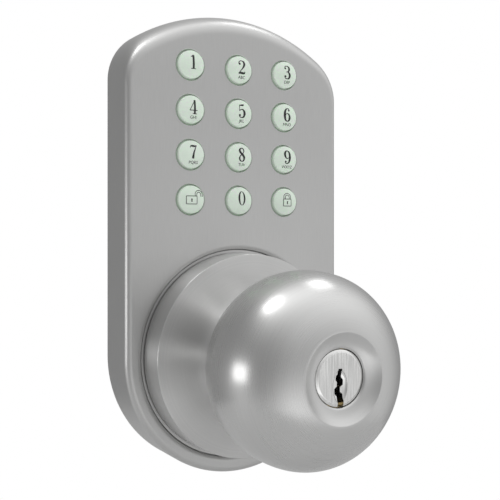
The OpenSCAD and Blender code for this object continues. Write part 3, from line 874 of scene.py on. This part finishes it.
six = [swept([(0.19, 0.81, 0.02), (0.15, 0.93, 0.028), (0.03, 0.97, 0.03), (-0.12, 0.87, 0.06),
              (-0.205, 0.66, 0.085), (-0.22, 0.4, 0.09), (-0.17, 0.14, 0.07), (-0.02, 0.03, 0.032),
              (0.13, 0.1, 0.065), (0.195, 0.3, 0.085), (0.14, 0.51, 0.06), (0.01, 0.6, 0.03),
              (-0.11, 0.54, 0.024), (-0.17, 0.43, 0.02)]), blot(0.15, 0.83, 0.07)]
digits = {
    "0": zero(),
    "1": [bar(-0.075, 0.075, 0.02, 0.97), bar(-0.19, 0.19, 0, 0.045),
          swept([(0.0, 0.985, 0.02), (-0.08, 0.9, 0.03), (-0.2, 0.85, 0.02)])],
    "2": [swept([(-0.24, 0.71, 0.02), (-0.235, 0.84, 0.028), (-0.14, 0.945, 0.03), (0.01, 0.97, 0.03),
                 (0.14, 0.9, 0.065), (0.2, 0.75, 0.088), (0.15, 0.58, 0.07), (0.02, 0.4, 0.04),
                 (-0.13, 0.22, 0.028), (-0.24, 0.07, 0.028)]),
          swept([(-0.27, 0.06, 0.055), (-0.12, 0.09, 0.07), (0.05, 0.08, 0.08), (0.19, 0.08, 0.06),
                 (0.25, 0.21, 0.018)]), blot(-0.18, 0.74, 0.08)],
    "3": [swept([(-0.22, 0.78, 0.02), (-0.17, 0.93, 0.028), (-0.02, 0.97, 0.03), (0.12, 0.91, 0.06),
                 (0.17, 0.77, 0.08), (0.11, 0.61, 0.055), (-0.03, 0.535, 0.026), (-0.1, 0.53, 0.022)]),
          swept([(-0.1, 0.53, 0.022), (0.04, 0.52, 0.03), (0.16, 0.43, 0.075), (0.205, 0.28, 0.09),
                 (0.14, 0.09, 0.065), (-0.01, 0.03, 0.032), (-0.17, 0.07, 0.028), (-0.24, 0.2, 0.02)]),
          blot(-0.17, 0.79, 0.072), blot(-0.18, 0.2, 0.08)],
    "4": [bar(0.02, 0.165, 0.02, 0.98), bar(-0.29, 0.3, 0.235, 0.285), bar(-0.07, 0.25, 0, 0.045),
          swept([(0.13, 0.99, 0.022), (-0.08, 0.64, 0.022), (-0.285, 0.26, 0.022)])],
    "5": [swept([(-0.19, 0.9, 0.03), (-0.06, 0.915, 0.05), (0.08, 0.92, 0.06), (0.2, 0.97, 0.02)]),
          swept([(-0.18, 0.95, 0.02), (-0.19, 0.72, 0.022), (-0.2, 0.5, 0.024)]),
          swept([(-0.2, 0.5, 0.022), (-0.08, 0.6, 0.028), (0.06, 0.6, 0.045), (0.17, 0.49, 0.08),
                 (0.205, 0.31, 0.09), (0.14, 0.1, 0.065), (-0.02, 0.03, 0.032), (-0.17, 0.07, 0.028),
                 (-0.24, 0.19, 0.02)]), blot(-0.18, 0.19, 0.08)],
    "6": six,
    "7": [swept([(-0.25, 0.8, 0.018), (-0.2, 0.91, 0.035), (-0.07, 0.92, 0.07), (0.1, 0.91, 0.06),
                 (0.25, 0.96, 0.018)]),
          swept([(0.25, 0.97, 0.018), (0.12, 0.7, 0.035), (0.01, 0.42, 0.06), (-0.05, 0.05, 0.085)])],
    "8": [swept([(0, 0.97, 0.03), (-0.13, 0.9, 0.058), (-0.17, 0.77, 0.075), (-0.07, 0.61, 0.08),
                 (0.09, 0.45, 0.088), (0.18, 0.26, 0.08), (0.12, 0.08, 0.05), (0, 0.03, 0.032),
                 (-0.14, 0.09, 0.05), (-0.2, 0.25, 0.055), (-0.13, 0.41, 0.032), (0.03, 0.55, 0.024),
                 (0.13, 0.67, 0.03), (0.16, 0.8, 0.042), (0.11, 0.92, 0.04)], closed=True)],
    "9": half_turned(six),
}


def box_line(x, up, w, h, line):
    """A rectangle drawn with a line, with slightly round corners."""
    corner = 0.06
    rungs = []
    for cx, cy, start in ((1, 1, 0), (-1, 1, 90), (-1, -1, 180), (1, -1, 270)):
        centre = (x + cx * (w / 2 - corner), up + cy * (h / 2 - corner))
        outside = arc(centre, corner, start, start + 90, 3)
        inside = arc(centre, corner - line, start, start + 90, 3)
        rungs += [(Vector(a), Vector(b)) for a, b in zip(outside, inside)]
    return rungs, True


def arch(x, up, r, leg_left, leg_right):
    """A hoop drawn with a line: a half circle whose two legs go down."""
    half_line = 0.022
    points = [(x - r, up - leg_left), *arc((x, up), r, 180, 0, 8), (x + r, up - leg_right)]
    return swept([(*point, half_line) for point in points], steps=2)


def keyhole(x, up):
    """A dot above a slot that widens downwards."""
    slot = []
    for drop, half in ((0, 0.025), (0.07, 0.035), (0.15, 0.055)):
        slot.append((Vector((x - half, up - drop)), Vector((x + half, up - drop))))
    return [blot(x, up + 0.02, 0.055), (slot, False)]


def padlock(body_x, body_w, body_h, hoop_x, hoop_up, legs):
    """A padlock: its body, a double-lined hoop and a keyhole."""
    middle = body_h / 2
    shapes = [box_line(body_x, middle, body_w, body_h, 0.045), *keyhole(body_x, middle + 0.03)]
    for r in (0.30, 0.17):
        shapes.append(arch(hoop_x, hoop_up, r, *legs))
    return shapes


icons = {
    "unlock": padlock(-0.14, 0.86, 0.6, 0.42, 0.68, (0.1, 0.14)),
    "lock": padlock(0, 0.72, 0.56, 0, 0.66, (0.12, 0.12)),
}
letters = {"2": "ABC", "3": "DEF", "4": "GHI", "5": "JKL", "6": "MNO", "7": "PQRS", "8": "TUV", "9": "WXYZ"}


def on_cap(centre, x, up, above):
    """A place above a cap, from a place in mm in its print, whose middle lies off the cap's own."""
    x, up = x + print_right, up + print_up
    return place(centre[0] + x, centre[1] + up, dome_out(x, up) + above)


def subdivided(rungs, closed):
    """Adds rungs where they are far apart, so that the ink follows the cap's curve."""
    longest = 0.06
    dense = []
    for i, rung in enumerate(rungs):
        dense.append(rung)
        if i + 1 < len(rungs) or closed:
            ahead = rungs[(i + 1) % len(rungs)]
            parts = math.ceil(max((a - b).length for a, b in zip(rung, ahead)) / longest)
            dense += [tuple(a.lerp(b, k / parts) for a, b in zip(rung, ahead)) for k in range(1, parts)]
    return dense


def add_rail(bm, centre, ends, above):
    """Vertices along one side of a shape, from the ends of its rungs."""
    return [bm.verts.new(on_cap(centre, end.x * digit_h, (end.y - 0.5) * digit_h, above)) for end in ends]


def add_print(bm, centre, shapes):
    """Lays a figure on a cap as a thin coat of ink."""
    for rungs, closed in shapes:
        rungs = subdivided(rungs, closed)
        left, right = [add_rail(bm, centre, ends, ink_t) for ends in zip(*rungs)]
        low_left, low_right = [add_rail(bm, centre, ends, -ink_sunk) for ends in zip(*rungs)]
        count = len(rungs)
        for i in range(count if closed else count - 1):
            j = (i + 1) % count
            bm.faces.new((left[i], left[j], right[j], right[i]))
            bm.faces.new((low_left[i], low_right[i], low_right[j], low_left[j]))
            bm.faces.new((left[j], left[i], low_left[i], low_left[j]))
            bm.faces.new((right[i], right[j], low_right[j], low_right[i]))
        if not closed:
            bm.faces.new((left[0], right[0], low_right[0], low_left[0]))
            bm.faces.new((right[-1], left[-1], low_left[-1], low_right[-1]))


def add_letters(bm, centre, text):
    """Small plain letters under the digit."""
    cap_h, drop = 1.22, 3.35
    curve = bpy.data.curves.new("letters", "FONT")
    curve.body = text
    curve.size = cap_h
    curve.align_x = "CENTER"
    curve.extrude = (ink_t + ink_sunk) / 2
    curve.resolution_u = 3
    holder = bpy.data.objects.new("letters", curve)
    bpy.context.scene.collection.objects.link(holder)
    bpy.context.view_layer.update()
    mesh = bpy.data.meshes.new_from_object(holder.evaluated_get(bpy.context.evaluated_depsgraph_get()))
    bpy.data.objects.remove(holder)
    for vertex in mesh.vertices:
        x, up, above = vertex.co
        vertex.co = on_cap(centre, x, up - drop, above + (ink_t - ink_sunk) / 2)
    bm.from_mesh(mesh)
    bpy.data.meshes.remove(mesh)


def key_print(name, centre):
    """A key's digit and letters, or its icon."""
    bm = bmesh.new()
    add_print(bm, centre, digits[name] if name in digits else icons[name])
    if name in letters:
        add_letters(bm, centre, letters[name])
    bmesh.ops.remove_doubles(bm, verts=bm.verts, dist=MM * 0.001)
    return finish_mesh(bm, "key_print_" + name)


for key_name, key_centre in key_places():
    dress(key_cap(key_name, key_centre), "key_" + key_name, "glow_plastic", "button_" + key_name)
    dress(key_print(key_name, key_centre), "key_" + key_name, "glow_plastic", material=ink)


# Stage

def floor():
    """A plain round sheet well below the lock, which hangs free."""
    bm = bmesh.new()
    floor_r, drop = 0.26, 0.1
    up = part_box("face_plate")[0].z - drop
    bm.faces.new([bm.verts.new((x * floor_r, y * floor_r, up)) for x, y in circle(1, 96)])
    obj = finish_mesh(bm, "floor")
    m = Nodes("floor", (0.65, 0.65, 0.65), 0, 0.6)
    m.vary_color(m.noise(m.at, 3, 2), 0.99, 1.01)
    obj.data.materials.append(m.material)


def softbox(name, at, size, power):
    """A rectangular area light that faces the lock."""
    light = bpy.data.lights.new(name, "AREA")
    light.shape = "RECTANGLE"
    light.size, light.size_y = size
    light.energy = power
    lamp = bpy.data.objects.new(name, light)
    bpy.context.scene.collection.objects.link(lamp)
    aim = Vector((0, -0.03, 0.03))
    lamp.location = at
    lamp.rotation_euler = (aim - Vector(at)).to_track_quat("-Z", "Y").to_euler()


# The room's own brightness, and the azimuth (0 in front of the lock, 90 to its right), elevation and strength
# of each glow in it. The strengths were first fitted to the photo's brightness and then set one by one.
ROOM_LEVEL = 0.3
GLOWS = [(0, 90, 0.7), (-60, 65, 0.4), (60, 65, 0.2), (0, 35, 0.3), (40, 40, 0.35), (80, 35, 0.5),
         (60, 0, 0.3), (0, -35, 0.85), (75, -35, 0.35), (-100, -20, 0.3), (-60, -65, 0.8), (145, 35, 0.2)]
GLOW_FOCUS = 9


def studio():
    """White for the camera, a dim room with soft glows for everything else, and four softboxes."""
    world = bpy.data.worlds.new("studio")
    bpy.context.scene.world = world
    world.use_nodes = True
    tree = world.node_tree

    def add(kind, *inputs, **settings):
        node = tree.nodes.new(kind)
        for key, value in settings.items():
            setattr(node, key, value)
        for socket, value in zip(node.inputs, inputs):
            if isinstance(value, bpy.types.NodeSocket):
                tree.links.new(value, socket)
            else:
                socket.default_value = value
        return node

    direction = add("ShaderNodeTexCoord").outputs["Generated"]
    level = ROOM_LEVEL
    for azimuth, elevation, strength in GLOWS:
        a, e = math.radians(azimuth), math.radians(elevation)
        towards = (math.sin(a) * math.cos(e), -math.cos(a) * math.cos(e), math.sin(e))
        facing = add("ShaderNodeVectorMath", direction, towards, operation="DOT_PRODUCT").outputs["Value"]
        falloff = add("ShaderNodeMath", facing, GLOW_FOCUS, -GLOW_FOCUS, operation="MULTIPLY_ADD").outputs[0]
        glow = add("ShaderNodeMath", falloff, operation="EXPONENT").outputs[0]
        level = add("ShaderNodeMath", glow, strength, level, operation="MULTIPLY_ADD").outputs[0]
    room = tree.nodes["Background"]
    tree.links.new(level, room.inputs["Strength"])
    room.inputs["Color"].default_value = (1, 1, 1, 1)
    backdrop = add("ShaderNodeBackground", (1, 1, 1, 1), 1)
    seen = add("ShaderNodeLightPath").outputs["Is Camera Ray"]
    mix = add("ShaderNodeMixShader", seen, room.outputs[0], backdrop.outputs[0])
    tree.links.new(mix.outputs[0], tree.nodes["World Output"].inputs[0])
    softbox("overhead_left", (-0.25, 0.02, 0.65), (0.20, 0.20), 0.50)
    softbox("overhead_right", (0.31, 0.06, 0.62), (0.22, 0.18), 0.26)
    softbox("left", (-0.40, 0.00, -0.005), (0.22, 0.10), 0.13)
    softbox("front_right", (0.40, -0.74, 0.00), (0.22, 0.14), 0.06)


def camera():
    """The photo's view: level, from the lock's left, with the picture shifted instead of tilted."""
    view = bpy.data.cameras.new("camera")
    view.lens = 59.5
    view.sensor_width = 36
    view.shift_y = -0.0244
    view.clip_start = 0.01
    obj = bpy.data.objects.new("camera", view)
    bpy.context.scene.collection.objects.link(obj)
    obj.location = (-0.1165, -0.2284, 0.0338)
    obj.rotation_euler = (math.radians(90), 0, math.radians(-29.42))
    bpy.context.scene.camera = obj


floor()
studio()
camera()
bpy.context.scene.view_settings.view_transform = "Standard"
